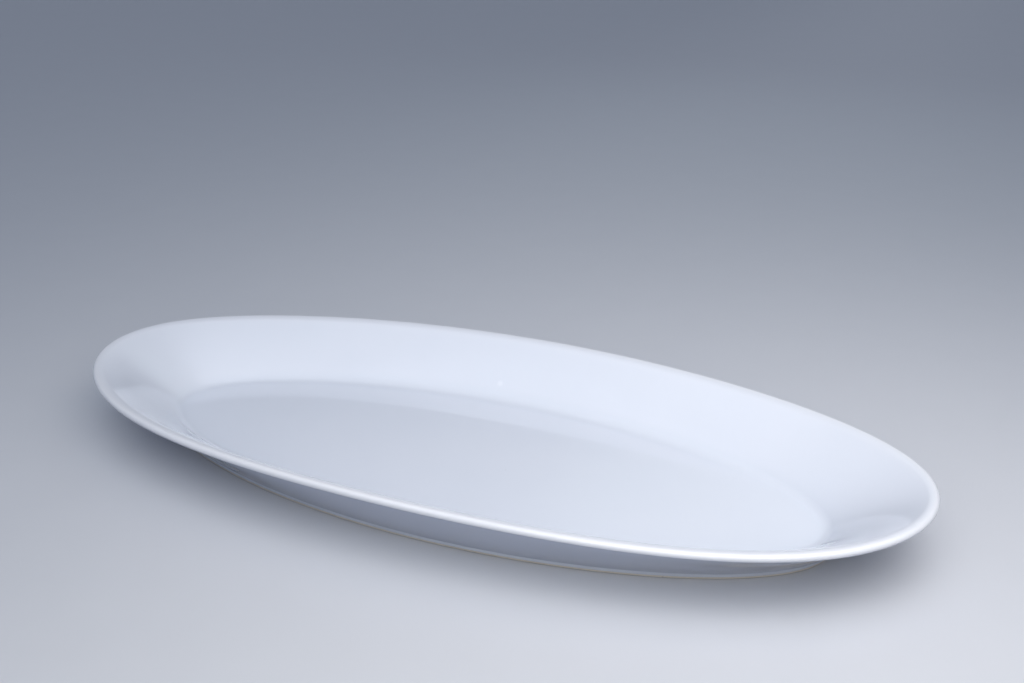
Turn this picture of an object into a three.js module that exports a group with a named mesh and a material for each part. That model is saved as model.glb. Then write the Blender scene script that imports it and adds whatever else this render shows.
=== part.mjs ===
import * as THREE from "three";

// Oval fish platter of white hard porcelain: one fired body with a flat well, a flared
// wall, a lip rolled outwards and a foot ring, and the two coats of glaze on it.
// Millimetres, +Z up. It stands on z = 0 with its length along X and its origin under
// the middle of the well.

// Finished sizes, over the glaze
const PLATTER_LENGTH = 600;
const PLATTER_WIDTH = 256;
const PLATTER_HEIGHT = 50;
const FLOOR_LENGTH = 469; // the flat of the well, inside the cove
const FLOOR_WIDTH = 162.5;
const FLOOR_HEIGHT = 12; // the serving surface above the table
const COVE_RADIUS = 13; // the turn from the floor up into the wall
const WALL_FLARE_RADIUS = 300; // the wall's own gentle turn outwards
const LIP_ROLL_RADIUS = 9.5; // the turn from the wall out into the lip
const LIP_THICKNESS = 5;
const RIM_SAG = 2.4; // the lip dips this far between its ends and the middles of its sides

// How far the outline stands outside a true ellipse on its diagonals, as a share
const RIM_FULLNESS = 0.027;
const WELL_FULLNESS = -0.018;

// Underside and foot ring
const FLOOR_THICKNESS = 5.5;
const FOOT_OUTSET = 8.2; // the foot's outer edge, outside the flat of the floor
const FOOT_FLAT_WIDTH = 3.4; // the ground ring that touches the table
const FOOT_EDGE_RADIUS = 1.2;
const FOOT_DRAFT = THREE.MathUtils.degToRad(8);
const SHOULDER_HEIGHT = 4.4; // where the outside of the wall meets the foot ring
const SHOULDER_FILLET = 2.5;
const RECESS_FILLET = 3;

// Glaze
const GLAZE_THICKNESS = 0.35;
const GLAZE_LINE_HEIGHT = 1.9; // the foot ring is wiped bare below this

// Facets
const STEPS_AROUND = 64;
const COVE_STEPS = 4;
const FLARE_STEPS = 2;
const ROLL_STEPS = 3;
const LIP_STEPS = 4;
const SHOULDER_STEPS = 2;
const FOOT_EDGE_STEPS = 2;
const RECESS_STEPS = 2;

const QUARTER_TURN = Math.PI / 2;

// The slope of a straight wall that starts at a corner and runs into a round of the given
// radius, which is level where it ends, run away from the corner and rise above it.
function slopeIntoRound(run, rise, radius) {
  const reach = Math.sqrt(run * run + rise * (rise - 2 * radius));
  return 2 * Math.atan(rise / (run + reach));
}

// The point at two given distances from two others, on the right on the way between them.
function pointOnTheRight(from, fromDistance, to, toDistance) {
  const way = to.clone().sub(from);
  const span = way.length();
  const along = (span ** 2 + fromDistance ** 2 - toDistance ** 2) / (2 * span);
  const aside = Math.sqrt(fromDistance ** 2 - along ** 2);
  way.divideScalar(span);
  const right = new THREE.Vector2(way.y, -way.x);
  return from.clone().addScaledVector(way, along).addScaledVector(right, aside);
}

// The direction from one point of the section to another, as an angle.
function bearing(from, to) {
  return Math.atan2(to.y - from.y, to.x - from.x);
}

// A step of the given length in the direction of an angle, in the plane of the section.
function stride(angle, length) {
  return new THREE.Vector2(length * Math.cos(angle), length * Math.sin(angle));
}

// One point of the body's section with the direction that faces out of the body there.
function station(radius, height, facing) {
  return { point: new THREE.Vector2(radius, height), outward: stride(facing, 1) };
}

// Stations along an arc. A hollow arc faces its centre, any other faces away from it.
function arc(centre, radius, from, to, steps, hollow) {
  const curve = new THREE.EllipseCurve(centre.x, centre.y, radius, radius, from, to, to < from);
  return curve.getPoints(steps).map((point, step) => {
    const angle = from + ((to - from) * step) / steps;
    return station(point.x, point.y, hollow ? angle + Math.PI : angle);
  });
}

// The section of the bare body on one half axis, from the middle of the floor over the lip
// and under the foot to the middle of the underside, in the three stretches that are
// glazed above, left bare and glazed below.
function bodySection(platterSize, floorSize) {
  const lipThickness = LIP_THICKNESS - 2 * GLAZE_THICKNESS;
  const rollRadius = LIP_ROLL_RADIUS - GLAZE_THICKNESS;
  const flareRadius = WALL_FLARE_RADIUS - GLAZE_THICKNESS;
  const coveRadius = COVE_RADIUS + GLAZE_THICKNESS;
  const floor = FLOOR_HEIGHT - GLAZE_THICKNESS;
  const top = PLATTER_HEIGHT - GLAZE_THICKNESS;
  const lipCentre = platterSize / 2 - LIP_THICKNESS / 2;
  const floorEdge = floorSize / 2;

  // The wall's flare runs smoothly out of the cove and into the roll of the lip
  const coveCentre = new THREE.Vector2(floorEdge, floor + coveRadius);
  const rollCentre = new THREE.Vector2(lipCentre, top - rollRadius);
  const flareCentre = pointOnTheRight(
    coveCentre,
    flareRadius + coveRadius,
    rollCentre,
    flareRadius - rollRadius,
  );
  const coveEnd = bearing(coveCentre, flareCentre);
  const rollStart = bearing(flareCentre, rollCentre);
  const edgeCentre = new THREE.Vector2(lipCentre, top - lipThickness / 2);

  const footOuter = floorEdge + FOOT_OUTSET;
  const shoulder = footOuter + SHOULDER_HEIGHT * Math.tan(FOOT_DRAFT);
  const underRadius = rollRadius - lipThickness;
  const underRise = top - lipThickness - SHOULDER_HEIGHT;
  const underSlope = slopeIntoRound(lipCentre - shoulder, underRise, underRadius);

  // The fillet between the underside of the wall and the foot's outer face
  const faceOutward = -FOOT_DRAFT;
  const wallOutward = underSlope - QUARTER_TURN;
  const shoulderSetback = SHOULDER_FILLET * Math.tan((faceOutward - wallOutward) / 2);
  const shoulderFrom = wallOutward + Math.PI;
  const shoulderTo = faceOutward + Math.PI;
  const shoulderCentre = new THREE.Vector2(shoulder, SHOULDER_HEIGHT)
    .add(stride(underSlope, shoulderSetback))
    .add(stride(wallOutward, SHOULDER_FILLET));

  // The rounded edges of the ground ring, between its flat and its drafted faces
  const edgeSetback = FOOT_EDGE_RADIUS * Math.tan((QUARTER_TURN - FOOT_DRAFT) / 2);
  const footInner = footOuter - 2 * edgeSetback - FOOT_FLAT_WIDTH;
  const outerEdge = new THREE.Vector2(footOuter - edgeSetback, FOOT_EDGE_RADIUS);
  const innerEdge = new THREE.Vector2(footInner + edgeSetback, FOOT_EDGE_RADIUS);
  const draftAtLine = GLAZE_LINE_HEIGHT * Math.tan(FOOT_DRAFT);

  // The recess under the floor
  const ceiling = FLOOR_HEIGHT - FLOOR_THICKNESS + GLAZE_THICKNESS;
  const recessCorner = footInner - ceiling * Math.tan(FOOT_DRAFT);
  const recessSetback = RECESS_FILLET * Math.tan((QUARTER_TURN - FOOT_DRAFT) / 2);
  const recessCentre = new THREE.Vector2(recessCorner - recessSetback, ceiling - RECESS_FILLET);

  const glazedAbove = [
    station(0, floor, QUARTER_TURN),
    ...arc(coveCentre, coveRadius, -QUARTER_TURN, coveEnd, COVE_STEPS, true),
    ...arc(flareCentre, flareRadius, coveEnd + Math.PI, rollStart, FLARE_STEPS, false).slice(1),
    ...arc(rollCentre, rollRadius, rollStart, QUARTER_TURN, ROLL_STEPS, false).slice(1),
    ...arc(edgeCentre, lipThickness / 2, QUARTER_TURN, -QUARTER_TURN, LIP_STEPS, false).slice(1),
    ...arc(rollCentre, underRadius, QUARTER_TURN, QUARTER_TURN + underSlope, ROLL_STEPS, true).slice(1),
    ...arc(shoulderCentre, SHOULDER_FILLET, shoulderFrom, shoulderTo, SHOULDER_STEPS, true),
    station(footOuter + draftAtLine, GLAZE_LINE_HEIGHT, faceOutward),
  ];
  const bare = [
    ...arc(outerEdge, FOOT_EDGE_RADIUS, faceOutward, -QUARTER_TURN, FOOT_EDGE_STEPS, false),
    ...arc(innerEdge, FOOT_EDGE_RADIUS, -QUARTER_TURN, FOOT_DRAFT - Math.PI, FOOT_EDGE_STEPS, false),
  ];
  const glazedBelow = [
    station(footInner - draftAtLine, GLAZE_LINE_HEIGHT, FOOT_DRAFT - Math.PI),
    ...arc(recessCentre, RECESS_FILLET, FOOT_DRAFT, QUARTER_TURN, RECESS_STEPS, true),
    station(0, ceiling, -QUARTER_TURN),
  ];
  return { glazedAbove, bare, glazedBelow };
}

const endSection = bodySection(PLATTER_LENGTH, FLOOR_LENGTH);
const sideSection = bodySection(PLATTER_WIDTH, FLOOR_WIDTH);

// One ring around the platter for each pair of end and side stations, standing off the bare
// body by the given thickness. The outline and the sag of the lip follow the bare body, so
// that a coat lies on it all the way round.
function rings(stretch, thickness) {
  const footOuter = FLOOR_WIDTH / 2 + FOOT_OUTSET;
  return endSection[stretch].map((end, index) => {
    const side = sideSection[stretch][index];
    const outwards = (side.point.x - footOuter) / (PLATTER_WIDTH / 2 - footOuter);
    const upwards = (side.point.y - FLOOR_HEIGHT) / (PLATTER_HEIGHT - FLOOR_HEIGHT);
    return {
      end: end.point.clone().addScaledVector(end.outward, thickness),
      side: side.point.clone().addScaledVector(side.outward, thickness),
      fullness: THREE.MathUtils.lerp(
        WELL_FULLNESS,
        RIM_FULLNESS,
        THREE.MathUtils.smoothstep(outwards, 0, 1),
      ),
      sag: RIM_SAG * THREE.MathUtils.smoothstep(upwards, 0, 1),
    };
  });
}

// A ring's point at a turn angle. The third harmonic fills the oval out on its diagonals
// and leaves its length and width as they are.
function ringPoint(ring, angle) {
  const bulge = ring.fullness / 2;
  const along = (1 + bulge) * Math.cos(angle) - bulge * Math.cos(3 * angle);
  const across = (1 + bulge) * Math.sin(angle) + bulge * Math.sin(3 * angle);
  const height = THREE.MathUtils.lerp(ring.end.y, ring.side.y, Math.sin(angle) ** 2);
  const dip = (ring.sag * (1 - Math.cos(4 * angle))) / 2;
  return [ring.end.x * along, ring.side.x * across, height - dip];
}

// A closed skin over rings that start and end on the axis, where a ring is one point. Rings
// that face inwards, a coat's seat, come in the body's order turned round, and their quads
// are split the other way, so that the coat and the body share every edge.
function skin(ringList) {
  const positions = [];
  const starts = [];
  const onAxis = (ring) => ring.end.x === 0;
  for (const ring of ringList) {
    starts.push(positions.length / 3);
    const points = onAxis(ring) ? 1 : STEPS_AROUND;
    for (let step = 0; step < points; step += 1) {
      positions.push(...ringPoint(ring, (2 * Math.PI * step) / STEPS_AROUND));
    }
  }
  const vertex = (index, step) => {
    return onAxis(ringList[index]) ? starts[index] : starts[index] + (step % STEPS_AROUND);
  };
  const faces = [];
  for (let index = 0; index + 1 < ringList.length; index += 1) {
    for (let step = 0; step < STEPS_AROUND; step += 1) {
      const near = vertex(index, step);
      const nearNext = vertex(index, step + 1);
      const far = vertex(index + 1, step);
      const farNext = vertex(index + 1, step + 1);
      const halves = ringList[index].facesInwards
        ? [[near, far, farNext], [near, farNext, nearNext]]
        : [[near, far, nearNext], [nearNext, far, farNext]];
      faces.push(...halves.filter((face) => new Set(face).size === 3).flat());
    }
  }
  const geometry = new THREE.BufferGeometry();
  geometry.setAttribute("position", new THREE.Float32BufferAttribute(positions, 3));
  geometry.setIndex(faces);
  geometry.computeVertexNormals();
  return geometry;
}

function piece(name, geometry, colour, roughness) {
  const material = new THREE.MeshStandardMaterial({ color: colour, roughness, metalness: 0 });
  const mesh = new THREE.Mesh(geometry, material);
  mesh.name = name;
  return mesh;
}

// The fired body, all in one: well, wall, lip and foot ring.
function porcelainBody() {
  const outline = ["glazedAbove", "bare", "glazedBelow"].flatMap((stretch) => rings(stretch, 0));
  return piece("porcelain_body", skin(outline), 0xeae6de, 0.6);
}

// A coat of glaze has a surface of its own and a seat on the body.
function glazeSurface(stretch) {
  return rings(stretch, GLAZE_THICKNESS);
}

function glazeSeat(stretch) {
  return rings(stretch, 0).reverse().map((ring) => ({ ...ring, facesInwards: true }));
}

function glazeCoat(name, outline) {
  return piece(name, skin(outline), 0xe9eef6, 0.08);
}

// The coat over the well, the lip and the outside, from the middle of the floor and back.
function upperGlaze() {
  return glazeCoat("upper_glaze", [...glazeSurface("glazedAbove"), ...glazeSeat("glazedAbove")]);
}

// The coat in the recess, from the middle of the underside and back.
function baseGlaze() {
  return glazeCoat("base_glaze", [...glazeSeat("glazedBelow"), ...glazeSurface("glazedBelow")]);
}

const platter = new THREE.Group();
platter.name = "oval_fish_platter";
platter.add(porcelainBody());
platter.add(upperGlaze());
platter.add(baseGlaze());

export default platter;
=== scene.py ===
import math
from collections import namedtuple

import bpy
from mathutils import Matrix, Vector, noise


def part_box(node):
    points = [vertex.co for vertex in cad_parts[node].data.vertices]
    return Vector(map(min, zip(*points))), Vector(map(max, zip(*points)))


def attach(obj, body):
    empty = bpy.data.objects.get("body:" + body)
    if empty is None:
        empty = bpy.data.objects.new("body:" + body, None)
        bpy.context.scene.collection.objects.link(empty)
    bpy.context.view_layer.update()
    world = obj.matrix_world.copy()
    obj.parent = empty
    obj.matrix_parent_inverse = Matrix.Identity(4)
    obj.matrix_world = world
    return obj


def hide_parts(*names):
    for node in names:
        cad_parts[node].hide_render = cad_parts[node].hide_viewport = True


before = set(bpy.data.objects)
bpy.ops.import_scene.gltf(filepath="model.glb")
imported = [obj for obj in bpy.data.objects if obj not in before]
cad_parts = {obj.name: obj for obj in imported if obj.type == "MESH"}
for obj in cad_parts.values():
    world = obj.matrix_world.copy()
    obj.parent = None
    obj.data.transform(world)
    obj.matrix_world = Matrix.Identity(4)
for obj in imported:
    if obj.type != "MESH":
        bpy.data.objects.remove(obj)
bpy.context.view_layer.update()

# The porcelain body
# One piece of white hard porcelain, pressed to an oval and fired: a flat well, a flared
# wall, a lip rolled outwards and a foot ring. The glaze hides all but the ground foot.
MM = 0.001
QUARTER_TURN = math.pi / 2
HALF_LENGTH, HALF_WIDTH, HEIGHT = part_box("upper_glaze")[1]
HALF_FLOOR_LENGTH = 234.5 * MM
HALF_FLOOR_WIDTH = 81.25 * MM
FLOOR_HEIGHT = 12 * MM
FLOOR_THICKNESS = 5.5 * MM
COVE_RADIUS = 13 * MM
WALL_FLARE_RADIUS = 300 * MM
LIP_ROLL_RADIUS = 9.5 * MM
LIP_THICKNESS = 5 * MM
RIM_SAG = 2.4 * MM
RIM_FULLNESS = 0.027
WELL_FULLNESS = -0.018
FOOT_OUTSET = 8.2 * MM
FOOT_FLAT_WIDTH = 3.4 * MM
FOOT_EDGE_RADIUS = 1.2 * MM
FOOT_DRAFT = math.radians(8)
SHOULDER_HEIGHT = 4.4 * MM
SHOULDER_FILLET = 2.5 * MM
RECESS_FILLET = 3 * MM
GLAZE_THICKNESS = 0.35 * MM
GLAZE_LINE_HEIGHT = 1.9 * MM
GLAZE_EDGE_REACH = 0.55 * MM
FULL_BEND_RADIUS = 4 * MM
STEPS_AROUND = 320
STRETCHES = ("above", "bare", "below")

# One point of the section: the way it faces out of the body, the share of the full coat
# that lies on it, and how tightly the surface bends there, hollow above 0 and round below
Station = namedtuple("Station", "point facing coat bend")


def smooth(low, high, value):
    share = min(max((value - low) / (high - low), 0), 1)
    return share * share * (3 - 2 * share)


def slope_into_round(run, rise, radius):
    """The slope of a straight line that runs on smoothly into a round at its upper end."""
    reach = math.sqrt(run * run + rise * (rise - 2 * radius))
    return 2 * math.atan(rise / (run + reach))


def point_on_the_right(start, start_distance, stop, stop_distance):
    """The point at the given distances from two others, to the right of the way between them."""
    way = stop - start
    span = way.length
    along = (span ** 2 + start_distance ** 2 - stop_distance ** 2) / (2 * span)
    aside = math.sqrt(start_distance ** 2 - along ** 2)
    way.normalize()
    return start + way * along + Vector((way.y, -way.x)) * aside


def bearing(start, stop):
    return math.atan2(stop.y - start.y, stop.x - start.x)


def stride(angle, length):
    return Vector((length * math.cos(angle), length * math.sin(angle)))


def arc(centre, radius, start, stop, steps, hollow=False):
    tightness = min(1, FULL_BEND_RADIUS / radius)
    bend = tightness if hollow else -tightness
    stations = []
    for step in range(steps + 1):
        angle = start + (stop - start) * step / steps
        facing = angle + math.pi if hollow else angle
        point = Vector(centre) + stride(angle, radius)
        stations.append(Station(point, stride(facing, 1), 1, bend))
    return stations


def straight(first, last, steps):
    """The stations between two others, without these."""
    stations = []
    for step in range(1, steps):
        share = step / steps
        facing = first.facing.lerp(last.facing, share).normalized()
        stations.append(Station(first.point.lerp(last.point, share), facing, 1, 0))
    return stations


def glaze_edge(line, facing, climb, steps=8):
    """Stations up the foot's face from the glaze line, where the coat's rounded edge swells."""
    stations = []
    for step in range(steps + 1):
        turn = QUARTER_TURN * step / steps
        point = line + climb * GLAZE_EDGE_REACH * (1 - math.cos(turn))
        stations.append(Station(point, facing, math.sin(turn), 0))
    return stations


def body_section(half_rim, floor_edge):
    """The body under its glaze, cut from the middle to the rim, as stretches of stations."""
    lip_thickness = LIP_THICKNESS - 2 * GLAZE_THICKNESS
    roll_radius = LIP_ROLL_RADIUS - GLAZE_THICKNESS
    flare_radius = WALL_FLARE_RADIUS - GLAZE_THICKNESS
    cove_radius = COVE_RADIUS + GLAZE_THICKNESS
    floor = FLOOR_HEIGHT - GLAZE_THICKNESS
    top = HEIGHT - GLAZE_THICKNESS
    lip_centre = half_rim - LIP_THICKNESS / 2

    cove_centre = Vector((floor_edge, floor + cove_radius))
    roll_centre = Vector((lip_centre, top - roll_radius))
    flare_centre = point_on_the_right(
        cove_centre, flare_radius + cove_radius, roll_centre, flare_radius - roll_radius)
    cove_end = bearing(cove_centre, flare_centre)
    roll_start = bearing(flare_centre, roll_centre)
    cove = arc(cove_centre, cove_radius, -QUARTER_TURN, cove_end, steps=24, hollow=True)
    flare = arc(flare_centre, flare_radius, cove_end + math.pi, roll_start, steps=16)
    roll = arc(roll_centre, roll_radius, roll_start, QUARTER_TURN, steps=20)
    lip_edge = arc(
        (lip_centre, top - lip_thickness / 2), lip_thickness / 2,
        QUARTER_TURN, -QUARTER_TURN, steps=24)

    foot_outer = floor_edge + FOOT_OUTSET
    shoulder = foot_outer + SHOULDER_HEIGHT * math.tan(FOOT_DRAFT)
    under_radius = roll_radius - lip_thickness
    under_rise = top - lip_thickness - SHOULDER_HEIGHT
    under_slope = slope_into_round(lip_centre - shoulder, under_rise, under_radius)
    under_roll = arc(
        roll_centre, under_radius,
        QUARTER_TURN, QUARTER_TURN + under_slope, steps=16, hollow=True)

    face_outward = -FOOT_DRAFT
    wall_outward = under_slope - QUARTER_TURN
    shoulder_setback = SHOULDER_FILLET * math.tan((face_outward - wall_outward) / 2)
    shoulder_centre = (
        Vector((shoulder, SHOULDER_HEIGHT))
        + stride(under_slope, shoulder_setback)
        + stride(wall_outward, SHOULDER_FILLET))
    fillet = arc(
        shoulder_centre, SHOULDER_FILLET,
        wall_outward + math.pi, face_outward + math.pi, steps=10, hollow=True)

    edge_setback = FOOT_EDGE_RADIUS * math.tan((QUARTER_TURN - FOOT_DRAFT) / 2)
    foot_inner = foot_outer - 2 * edge_setback - FOOT_FLAT_WIDTH
    draft_at_line = GLAZE_LINE_HEIGHT * math.tan(FOOT_DRAFT)
    outer_line = glaze_edge(
        Vector((foot_outer + draft_at_line, GLAZE_LINE_HEIGHT)),
        stride(face_outward, 1), stride(QUARTER_TURN - FOOT_DRAFT, 1))
    inner_line = glaze_edge(
        Vector((foot_inner - draft_at_line, GLAZE_LINE_HEIGHT)),
        stride(FOOT_DRAFT - math.pi, 1), stride(QUARTER_TURN + FOOT_DRAFT, 1))
    outer_edge = arc(
        (foot_outer - edge_setback, FOOT_EDGE_RADIUS), FOOT_EDGE_RADIUS,
        face_outward, -QUARTER_TURN, steps=8)
    inner_edge = arc(
        (foot_inner + edge_setback, FOOT_EDGE_RADIUS), FOOT_EDGE_RADIUS,
        -QUARTER_TURN, FOOT_DRAFT - math.pi, steps=8)

    ceiling = FLOOR_HEIGHT - FLOOR_THICKNESS + GLAZE_THICKNESS
    recess_corner = foot_inner - ceiling * math.tan(FOOT_DRAFT)
    recess_setback = RECESS_FILLET * math.tan((QUARTER_TURN - FOOT_DRAFT) / 2)
    recess = arc(
        (recess_corner - recess_setback, ceiling - RECESS_FILLET), RECESS_FILLET,
        FOOT_DRAFT, QUARTER_TURN, steps=10, hollow=True)

    floor_middle = Station(Vector((0, floor)), Vector((0, 1)), 1, 0)
    base_middle = Station(Vector((0, ceiling)), Vector((0, -1)), 1, 0)
    above = [
        floor_middle, *straight(floor_middle, cove[0], steps=24),
        *cove, *flare[1:], *roll[1:], *lip_edge[1:], *under_roll[1:],
        *straight(under_roll[-1], fillet[0], steps=10), *fillet, *reversed(outer_line)]
    bare = [*outer_edge, *straight(outer_edge[-1], inner_edge[0], steps=6), *inner_edge]
    below = [
        *inner_line, *recess, *straight(recess[-1], base_middle, steps=20), base_middle]
    return dict(zip(STRETCHES, (above, bare, below)))


lengthwise = body_section(HALF_LENGTH, HALF_FLOOR_LENGTH)
across = body_section(HALF_WIDTH, HALF_FLOOR_WIDTH)

BROAD_WAVE_LENGTH = 170 * MM
BROAD_WAVE_HEIGHT = 0.05 * MM
BROAD_WAVE_PATTERN = 0.3
FINE_WAVE_LENGTH = 62 * MM
FINE_WAVE_HEIGHT = 0.012 * MM
FINE_WAVE_PATTERN = 5.7


def kiln_wave(x, y, height):
    """The slight unevenness that the fire leaves in the floor and the wall."""
    above_foot = smooth(2 * MM, 6 * MM, height)
    below_lip = 1 - smooth(36 * MM, 46 * MM, height)
    broad = noise.noise(
        Vector((x / BROAD_WAVE_LENGTH, y / BROAD_WAVE_LENGTH, BROAD_WAVE_PATTERN)))
    fine = noise.noise(
        Vector((x / FINE_WAVE_LENGTH, y / FINE_WAVE_LENGTH, FINE_WAVE_PATTERN)))
    return above_foot * below_lip * (BROAD_WAVE_HEIGHT * broad + FINE_WAVE_HEIGHT * fine)


def ring(end, side, thickness):
    """Points around the platter at one station of the two sections, a coat's share off it.

    The rim is fuller than an ellipse and the well slimmer, and the rim dips between its ends
    and the middles of its sides.
    """
    foot_outer = HALF_FLOOR_WIDTH + FOOT_OUTSET
    outwards = (side.point.x - foot_outer) / (HALF_WIDTH - foot_outer)
    bulge = (WELL_FULLNESS + (RIM_FULLNESS - WELL_FULLNESS) * smooth(0, 1, outwards)) / 2
    sag = RIM_SAG * smooth(FLOOR_HEIGHT, HEIGHT, side.point.y)
    end_point = end.point + end.facing * thickness * end.coat
    side_point = side.point + side.facing * thickness * side.coat
    points = []
    count = 1 if end_point.x == 0 else STEPS_AROUND
    for step in range(count):
        angle = 2 * math.pi * step / STEPS_AROUND
        x = end_point.x * ((1 + bulge) * math.cos(angle) - bulge * math.cos(3 * angle))
        y = side_point.x * ((1 + bulge) * math.sin(angle) + bulge * math.sin(3 * angle))
        height = end_point.y + (side_point.y - end_point.y) * math.sin(angle) ** 2
        dip = sag * (1 - math.cos(4 * angle)) / 2
        points.append(Vector((x, y, height - dip + kiln_wave(x, y, side.point.y))))
    return points


def rings(stretch, thickness=0):
    return [
        ring(end, side, thickness)
        for end, side in zip(lengthwise[stretch], across[stretch])]


def skin(name, ring_list, values_name, values):
    """A closed mesh over rings that start and end on the axis, with one value for each ring."""
    points = []
    point_values = []
    starts = []
    for points_around, value in zip(ring_list, values, strict=True):
        starts.append(len(points))
        points.extend(points_around)
        point_values.extend([value] * len(points_around))
    faces = []
    for number in range(len(ring_list) - 1):
        near, far = starts[number], starts[number + 1]
        near_count, far_count = len(ring_list[number]), len(ring_list[number + 1])
        for step in range(STEPS_AROUND):
            after = step + 1
            corners = (
                near + step % near_count, far + step % far_count,
                far + after % far_count, near + after % near_count)
            faces.append(tuple(dict.fromkeys(corners)))
    mesh = bpy.data.meshes.new(name)
    mesh.from_pydata(points, [], faces)
    mesh.shade_smooth()
    mesh.attributes.new(values_name, "FLOAT", "POINT").data.foreach_set("value", point_values)
    piece = bpy.data.objects.new(name, mesh)
    bpy.context.collection.objects.link(piece)
    return piece


# How far out each ring lies across the platter, for the marks of the grinding wheel
body_rings = rings("above") + rings("bare") + rings("below")
reach_across = [station.point.x for stretch in STRETCHES for station in across[stretch]]
body = skin("porcelain_body_ware", body_rings, "reach_across", reach_across)
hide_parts("porcelain_body")
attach(body, "root")


def add_node(tree, kind, inputs=None, **settings):
    node = tree.nodes.new(kind)
    for name, value in settings.items():
        setattr(node, name, value)
    for name, value in (inputs or {}).items():
        if isinstance(value, bpy.types.NodeSocket):
            tree.links.new(value, node.inputs[name])
        else:
            node.inputs[name].default_value = value
    return node


def calculate(tree, operation, *values):
    inputs = dict(enumerate(values))
    return add_node(tree, "ShaderNodeMath", inputs, operation=operation).outputs[0]


def blend(tree, share, first, second):
    node = add_node(tree, "ShaderNodeMix", {0: share, 6: first, 7: second}, data_type="RGBA")
    return node.outputs[2]


def fade(tree, value, start, stop, low=0, high=1):
    """From low, where the value is at start, smoothly to high, where it is at stop."""
    inputs = {
        "Value": value, "From Min": start, "From Max": stop, "To Min": low, "To Max": high}
    node = add_node(tree, "ShaderNodeMapRange", inputs, interpolation_type="SMOOTHSTEP")
    return node.outputs[0]


def cloud(tree, place, size, detail=2):
    """Smooth noise with patches of about the given size."""
    inputs = {"Vector": place, "Scale": 1 / size, "Detail": detail, "Roughness": 0.5}
    return add_node(tree, "ShaderNodeTexNoise", inputs).outputs[0]


def object_place(tree):
    return add_node(tree, "ShaderNodeTexCoord").outputs["Object"]


def new_effect(name, inputs, outputs):
    """A shader node group with the given sockets, and its inner input and output nodes."""
    group = bpy.data.node_groups.new(name, "ShaderNodeTree")
    for direction, sockets in (("INPUT", inputs), ("OUTPUT", outputs)):
        for socket_name, kind in sockets.items():
            group.interface.new_socket(socket_name, in_out=direction, socket_type=kind)
    inside = add_node(group, "NodeGroupInput").outputs
    return group, inside, add_node(group, "NodeGroupOutput").inputs


def new_material(name):
    material = bpy.data.materials.new(name)
    material.use_nodes = True
    tree = material.node_tree
    return material, tree, tree.nodes["Principled BSDF"].inputs


def finish(tree, shader, colour, roughness, height):
    bump = add_node(tree, "ShaderNodeBump", {"Strength": 1, "Distance": 1, "Height": height})
    tree.links.new(colour, shader["Base Color"])
    tree.links.new(roughness, shader["Roughness"])
    tree.links.new(bump.outputs[0], shader["Normal"])


# Specks of iron from the clay and crumbs from the kiln, a few on each hand's breadth, each
# full in its core and faded out at its radius
SPECK_CORE = 0.45
kiln_specks, inside, outside = new_effect(
    "kiln_specks",
    {"Spacing": "NodeSocketFloat", "Radius": "NodeSocketFloat"},
    {"Speck": "NodeSocketFloat"})
cells = add_node(kiln_specks, "ShaderNodeTexVoronoi", {
    "Vector": object_place(kiln_specks),
    "Scale": calculate(kiln_specks, "DIVIDE", 1, inside["Spacing"])})
from_speck = calculate(
    kiln_specks, "MULTIPLY", cells.outputs["Distance"], inside["Spacing"])
core = calculate(kiln_specks, "MULTIPLY", inside["Radius"], SPECK_CORE)
kiln_specks.links.new(fade(kiln_specks, from_speck, inside["Radius"], core), outside["Speck"])


def specks(tree, spacing, radius):
    inputs = {"Spacing": spacing, "Radius": radius}
    return add_node(tree, "ShaderNodeGroup", node_tree=kiln_specks, inputs=inputs).outputs[0]


BISCUIT_WHITE = (0.78, 0.745, 0.68, 1)
BISCUIT_SHADE = (0.70, 0.665, 0.60, 1)
FLASHED_TAN = (0.64, 0.54, 0.43, 1)
TABLE_GREY = (0.42, 0.41, 0.40, 1)
SPECK_BROWN = (0.22, 0.17, 0.13, 1)
GRAIN_SIZE = 0.45 * MM
GRAIN_DEPTH = 0.03 * MM
SCUFF_SIZE = 14 * MM
WANDER_SIZE = 35 * MM
WHEEL_MARKS_PER_METRE = 2600
WHEEL_MARK_WANDER = 3
WHEEL_MARK_DEPTH = 0.03 * MM
FLAT_FULL_BELOW = 0.05 * MM
FLAT_ENDS_AT = 0.35 * MM
FLASHED_FROM = 1.1 * MM
biscuit, tree, shader = new_material("bare_porcelain")
place = object_place(tree)
height_above = add_node(tree, "ShaderNodeSeparateXYZ", {0: place}).outputs["Z"]
grain = cloud(tree, place, GRAIN_SIZE, detail=3)
patches = cloud(tree, place, SCUFF_SIZE)
wander = cloud(tree, place, WANDER_SIZE)
reach = add_node(tree, "ShaderNodeAttribute", attribute_name="reach_across").outputs["Fac"]
wheel_way = calculate(
    tree, "ADD",
    calculate(tree, "MULTIPLY", reach, WHEEL_MARKS_PER_METRE),
    calculate(tree, "MULTIPLY", wander, WHEEL_MARK_WANDER))
wheel_marks = add_node(
    tree, "ShaderNodeTexNoise", {"W": wheel_way, "Scale": 1, "Detail": 2},
    noise_dimensions="1D").outputs[0]
on_flat = fade(tree, height_above, FLAT_ENDS_AT, FLAT_FULL_BELOW)
scuffed = calculate(
    tree, "MULTIPLY", on_flat, fade(tree, patches, start=0.5, stop=0.7, high=0.55))
flashed = calculate(
    tree, "MULTIPLY", fade(tree, height_above, FLASHED_FROM, GLAZE_LINE_HEIGHT),
    fade(tree, wander, start=0.3, stop=0.7, low=0.05, high=0.4))
colour = blend(tree, fade(tree, grain, start=0.35, stop=0.65), BISCUIT_SHADE, BISCUIT_WHITE)
colour = blend(tree, flashed, colour, FLASHED_TAN)
colour = blend(tree, calculate(tree, "MULTIPLY", scuffed, wheel_marks), colour, TABLE_GREY)
colour = blend(tree, specks(tree, spacing=6 * MM, radius=0.4 * MM), colour, SPECK_BROWN)
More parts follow.
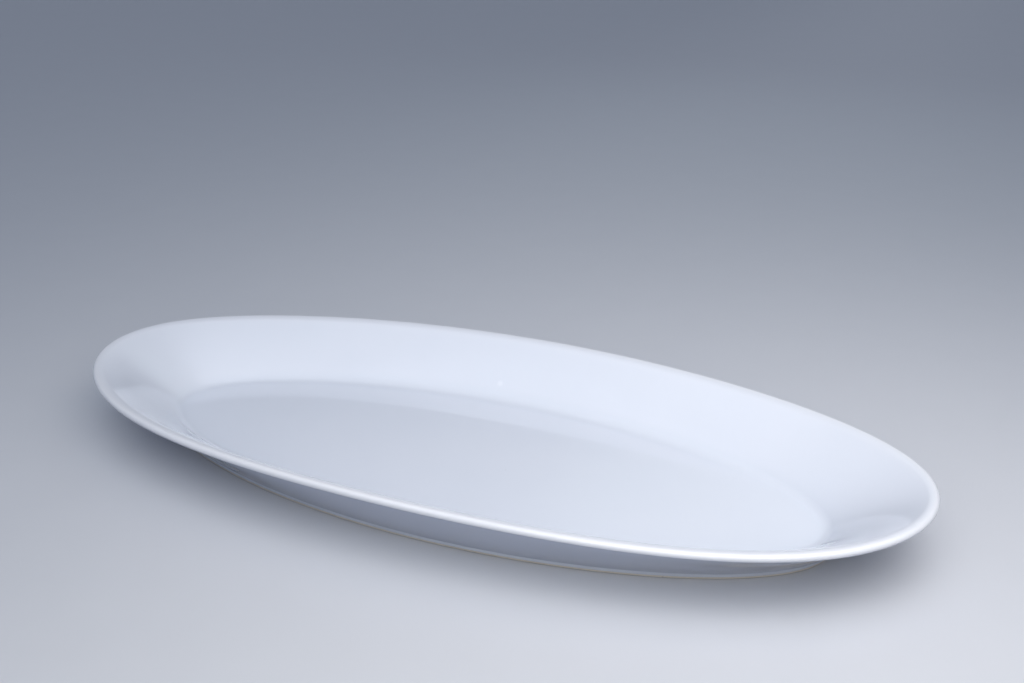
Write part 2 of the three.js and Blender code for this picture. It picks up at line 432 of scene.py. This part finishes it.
roughness = fade(tree, grain, start=0.2, stop=0.8, low=0.58, high=0.78)
wheel_height = calculate(
    tree, "MULTIPLY", calculate(tree, "MULTIPLY", wheel_marks, on_flat), WHEEL_MARK_DEPTH)
height = calculate(
    tree, "ADD", calculate(tree, "MULTIPLY", grain, GRAIN_DEPTH), wheel_height)
finish(tree, shader, colour, roughness, height)
body.data.materials.append(biscuit)

# The upper coat of glaze
# A clear feldspar glaze, fused to the body at white heat. It covers the well, the wall, the
# lip and the outside, and ends where the foot ring was wiped before firing.
FLOW_REACH = 3 * MM


def pooling(stretch):
    """How the melt lies at each station: above 0 pooled in a hollow, below 0 thin on an edge."""
    pooled = []
    for station in across[stretch]:
        total = 0
        weights = 0
        for other in across[stretch]:
            weight = math.exp(-((station.point - other.point).length / FLOW_REACH) ** 2)
            total += weight * other.bend
            weights += weight
        pooled.append(total / weights)
    return pooled


upper_pooling = pooling("above")
upper_coat = skin(
    "upper_glaze_coat",
    rings("above", GLAZE_THICKNESS) + rings("above")[-2::-1],
    "pooled", upper_pooling + upper_pooling[-2::-1])
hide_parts("upper_glaze")
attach(upper_coat, "root")

# The melt lies level in broad clouds, a little bluer where it pooled and whiter where it
# ran thin, and it keeps a faint ripple
DRIFT_SIZE = 70 * MM
GLOSS_PATCH_SIZE = 24 * MM
RIPPLE_SIZE = 13 * MM
glaze_melt, inside, outside = new_effect(
    "glaze_melt",
    {"White": "NodeSocketColor", "Pooled": "NodeSocketColor", "Thin": "NodeSocketColor",
     "Ripple": "NodeSocketFloat"},
    {"Colour": "NodeSocketColor", "Roughness": "NodeSocketFloat", "Height": "NodeSocketFloat"})
place = object_place(glaze_melt)
flow = add_node(glaze_melt, "ShaderNodeAttribute", attribute_name="pooled").outputs["Fac"]
drift = cloud(glaze_melt, place, DRIFT_SIZE)
gloss_patches = cloud(glaze_melt, place, GLOSS_PATCH_SIZE)
ripple = cloud(glaze_melt, place, RIPPLE_SIZE, detail=1)
drifted = fade(glaze_melt, drift, start=0.3, stop=0.7, high=0.14)
hollows = fade(glaze_melt, flow, start=0, stop=0.9, high=0.8)
edges = fade(glaze_melt, flow, start=0, stop=-0.8)
clouded = blend(glaze_melt, drifted, inside["White"], inside["Pooled"])
pooled = blend(glaze_melt, hollows, clouded, inside["Pooled"])
thinned = blend(glaze_melt, edges, pooled, inside["Thin"])
gloss = fade(glaze_melt, gloss_patches, start=0.3, stop=0.7, low=0.02, high=0.04)
ripple_height = calculate(glaze_melt, "MULTIPLY", ripple, inside["Ripple"])
glaze_melt.links.new(thinned, outside["Colour"])
glaze_melt.links.new(gloss, outside["Roughness"])
glaze_melt.links.new(ripple_height, outside["Height"])


def melt(tree, white, pooled, thin, ripple):
    inputs = {"White": white, "Pooled": pooled, "Thin": thin, "Ripple": ripple}
    return add_node(tree, "ShaderNodeGroup", node_tree=glaze_melt, inputs=inputs).outputs


GLAZE_WHITE = (0.765, 0.812, 0.898, 1)
GLAZE_POOLED = (0.68, 0.745, 0.84, 1)
GLAZE_THIN = (0.80, 0.83, 0.89, 1)
GLAZE_IOR = 1.54
SPECK_GREY = (0.36, 0.36, 0.37, 1)
UPPER_RIPPLE = 0.003 * MM
upper_glaze, tree, shader = new_material("upper_glaze_finish")
lying = melt(tree, GLAZE_WHITE, GLAZE_POOLED, GLAZE_THIN, UPPER_RIPPLE)
upper_specks = specks(tree, spacing=26 * MM, radius=0.32 * MM)
colour = blend(tree, upper_specks, lying["Colour"], SPECK_GREY)

# A small spot on the far wall is painted lighter in the coat's colour as a glint, over a very
# low pimple in the bump
PAINTED_GLINT_WHITE = (0.81, 0.855, 0.935, 1)
GLINT_SPOT_PLACE = (-22.5 * MM, 95.5 * MM, 22.5 * MM)
GLINT_SPOT_REACH = 3.2 * MM
GLINT_SPOT_CORE = 0.6 * MM
GLINT_PIMPLE_HEIGHT = 0.012 * MM
from_glint_spot = add_node(
    tree, "ShaderNodeVectorMath", {0: object_place(tree), 1: GLINT_SPOT_PLACE},
    operation="DISTANCE").outputs["Value"]
glint_and_pimple = fade(tree, from_glint_spot, GLINT_SPOT_REACH, GLINT_SPOT_CORE)
# Painted glint: the coat's colour is lightened in the spot
colour = blend(tree, glint_and_pimple, colour, PAINTED_GLINT_WHITE)
height = calculate(
    tree, "ADD", lying["Height"], calculate(tree, "MULTIPLY", glint_and_pimple, GLINT_PIMPLE_HEIGHT))
finish(tree, shader, colour, lying["Roughness"], height)
shader["IOR"].default_value = GLAZE_IOR
upper_coat.data.materials.append(upper_glaze)

# The base coat of glaze
# The same glaze in the recess under the floor, parted from the upper coat by the bare foot.
# It faced the kiln shelf, so it is a little duller and caught more crumbs.
base_pooling = pooling("below")
base_coat = skin(
    "base_glaze_coat",
    rings("below")[::-1] + rings("below", GLAZE_THICKNESS)[1:],
    "pooled", base_pooling[::-1] + base_pooling[1:])
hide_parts("base_glaze")
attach(base_coat, "root")

BASE_WHITE = (0.74, 0.785, 0.865, 1)
BASE_POOLED = (0.66, 0.725, 0.81, 1)
BASE_RIPPLE = 0.025 * MM
BASE_DULLNESS = 0.05
BASE_CRUMB_HEIGHT = 0.08 * MM
base_glaze, tree, shader = new_material("base_glaze_finish")
lying = melt(tree, BASE_WHITE, BASE_POOLED, GLAZE_THIN, BASE_RIPPLE)
crumbs = specks(tree, spacing=17 * MM, radius=0.4 * MM)
colour = blend(tree, crumbs, lying["Colour"], SPECK_GREY)
roughness = calculate(tree, "ADD", lying["Roughness"], BASE_DULLNESS)
height = calculate(
    tree, "ADD", lying["Height"], calculate(tree, "MULTIPLY", crumbs, BASE_CRUMB_HEIGHT))
finish(tree, shader, colour, roughness, height)
shader["IOR"].default_value = GLAZE_IOR
base_coat.data.materials.append(base_glaze)

# The studio floor
# A plain round sheet of pale card, matte and faintly mottled, that the platter stands on. It
# throws little light back up, so that the outside of the wall keeps its shade.
FLOOR_REACH = 12.0
FLOOR_CORNERS = 96
CARD_PALE = (0.62, 0.645, 0.69, 1)
CARD_SHADE = (0.605, 0.63, 0.675, 1)
CARD_RETURN = (0.25, 0.28, 0.36, 1)
MOTTLE_SIZE = 40 * MM
FIBRE_SIZE = 1.5 * MM
FIBRE_HEIGHT = 0.02 * MM
floor_mesh = bpy.data.meshes.new("studio_floor")
floor_mesh.from_pydata(
    [(*stride(2 * math.pi * corner / FLOOR_CORNERS, FLOOR_REACH), 0)
     for corner in range(FLOOR_CORNERS)],
    [], [range(FLOOR_CORNERS)])
studio_floor = bpy.data.objects.new("studio_floor", floor_mesh)
bpy.context.collection.objects.link(studio_floor)
card, tree, shader = new_material("pale_card")
place = object_place(tree)
mottle = cloud(tree, place, MOTTLE_SIZE)
fibre = cloud(tree, place, FIBRE_SIZE, detail=3)
light_path = add_node(tree, "ShaderNodeLightPath").outputs
mottled = blend(tree, mottle, CARD_SHADE, CARD_PALE)
colour = blend(tree, light_path["Is Diffuse Ray"], mottled, CARD_RETURN)
roughness = fade(tree, fibre, start=0.3, stop=0.7, low=0.72, high=0.85)
height = calculate(tree, "MULTIPLY", fibre, FIBRE_HEIGHT)
finish(tree, shader, colour, roughness, height)
floor_mesh.materials.append(card)

# The light and the camera
# Round soft lamps around the platter under a broad pale ceiling, in a dim room with a pale
# horizon, and the camera where the photograph's outlines of rim, well and foot put it.
ROOM_DIM = (0.041, 0.052, 0.083, 1)
CEILING_BRIGHT = (0.94, 1.02, 1.18, 1)
CEILING_WAY = Vector((0, -0.35, 0.94)).normalized()
CEILING_EDGE = 0.7
CEILING_FULL = 0.98
HORIZON = (0.176, 0.202, 0.26, 1)
HORIZON_TOP = 0.13
HORIZON_FULL = 0.05
world = bpy.data.worlds.new("studio")
bpy.context.scene.world = world
world.use_nodes = True
tree = world.node_tree
way = add_node(tree, "ShaderNodeTexCoord").outputs["Generated"]
to_ceiling = add_node(
    tree, "ShaderNodeVectorMath", {0: way, 1: CEILING_WAY},
    operation="DOT_PRODUCT").outputs["Value"]
climb = add_node(tree, "ShaderNodeSeparateXYZ", {0: way}).outputs["Z"]
light = blend(tree, fade(tree, to_ceiling, CEILING_EDGE, CEILING_FULL), ROOM_DIM, CEILING_BRIGHT)
light = blend(tree, fade(tree, climb, HORIZON_TOP, HORIZON_FULL), light, HORIZON)
tree.links.new(light, tree.nodes["Background"].inputs["Color"])

# A lamp's light ends at its edge and is full inside, both given as shares of its diameter
# from its middle
LAMP_EDGE = 0.5
LAMP_FULL = 0.3
LAMP_SPREAD = math.radians(150)


def soft_lamp(name, place, target, diameter, brightness, tint):
    """A round lamp behind a grid of slats, that fades out to its edge."""
    lamp = bpy.data.lights.new(name, "AREA")
    lamp.shape = "DISK"
    lamp.size = diameter
    lamp.spread = LAMP_SPREAD
    lamp.energy = brightness * math.pi * math.pi * diameter ** 2 / 4
    lamp.color = tint
    lamp.use_nodes = True
    tree = lamp.node_tree
    on_disc = add_node(tree, "ShaderNodeNewGeometry").outputs["Parametric"]
    from_middle = add_node(
        tree, "ShaderNodeVectorMath", {0: on_disc, 1: (0.5, 0.5, 0)},
        operation="DISTANCE").outputs["Value"]
    strength = fade(tree, from_middle, LAMP_EDGE, LAMP_FULL)
    tree.links.new(strength, tree.nodes["Emission"].inputs["Strength"])
    holder = bpy.data.objects.new(name, lamp)
    holder.location = place
    aim = Vector(target) - Vector(place)
    holder.rotation_euler = aim.to_track_quat("-Z", "Y").to_euler()
    bpy.context.collection.objects.link(holder)


soft_lamp(
    "front_lamp", place=(0.45, -0.55, 0.56), target=(0.31, -0.19, 0.03),
    diameter=1.3, brightness=1.62, tint=(1.0, 0.95, 0.87))
soft_lamp(
    "top_lamp", place=(0.4, 0, 0.6), target=(0.16, 0, 0.03),
    diameter=0.8, brightness=0.87, tint=(1.0, 0.955, 0.98))
soft_lamp(
    "back_lamp", place=(0, 1.18, 0.92), target=(0, 0, 0.03),
    diameter=1.1, brightness=0.22, tint=(0.85, 1.0, 1.0))
soft_lamp(
    "left_lamp", place=(-0.5, -0.6, 0.7), target=(-0.15, 0, 0.03),
    diameter=0.8, brightness=0.35, tint=(0.83, 0.89, 1.0))

# A narrow lamp far behind, too low to reach the well, lights the back of the wall
LOW_LAMP_PLACE = Vector((0, 6, 0.36))
LOW_LAMP_AIM = Vector((0, -6, -0.33))
low_beam = bpy.data.lights.new("low_lamp", "SPOT")
low_beam.energy = 330
low_beam.color = (1.0, 0.97, 0.95)
low_beam.spot_size = math.radians(12)
low_beam.spot_blend = 0.8
low_beam.shadow_soft_size = 0.25
low_lamp = bpy.data.objects.new("low_lamp", low_beam)
low_lamp.location = LOW_LAMP_PLACE
low_lamp.rotation_euler = LOW_LAMP_AIM.to_track_quat("-Z", "Y").to_euler()
low_lamp.visible_glossy = False
bpy.context.collection.objects.link(low_lamp)

IMAGE_WIDTH = 1024
FOCAL_PIXELS = 1191
CAMERA_AZIMUTH = math.radians(23.87)
CAMERA_ELEVATION = math.radians(23.51)
CAMERA_DISTANCE = 0.8004
AIM_RIGHT = 27.0 * MM
AIM_UP = 47.9 * MM
RIM_MIDDLE = Vector((0, 0, 46.6 * MM))
right = Vector((math.cos(CAMERA_AZIMUTH), math.sin(CAMERA_AZIMUTH), 0))
back = Vector((
    math.sin(CAMERA_AZIMUTH) * math.cos(CAMERA_ELEVATION),
    -math.cos(CAMERA_AZIMUTH) * math.cos(CAMERA_ELEVATION),
    math.sin(CAMERA_ELEVATION)))
up = back.cross(right)
lens = bpy.data.cameras.new("camera")
lens.sensor_fit = "HORIZONTAL"
lens.sensor_width = 36
lens.lens = FOCAL_PIXELS * lens.sensor_width / IMAGE_WIDTH
camera = bpy.data.objects.new("camera", lens)
bpy.context.collection.objects.link(camera)
camera_turn = Matrix((right, up, back)).transposed().to_4x4()
camera_place = RIM_MIDDLE + AIM_RIGHT * right + AIM_UP * up + CAMERA_DISTANCE * back
camera.matrix_world = Matrix.Translation(camera_place) @ camera_turn
bpy.context.scene.camera = camera
bpy.context.scene.view_settings.view_transform = "Standard"
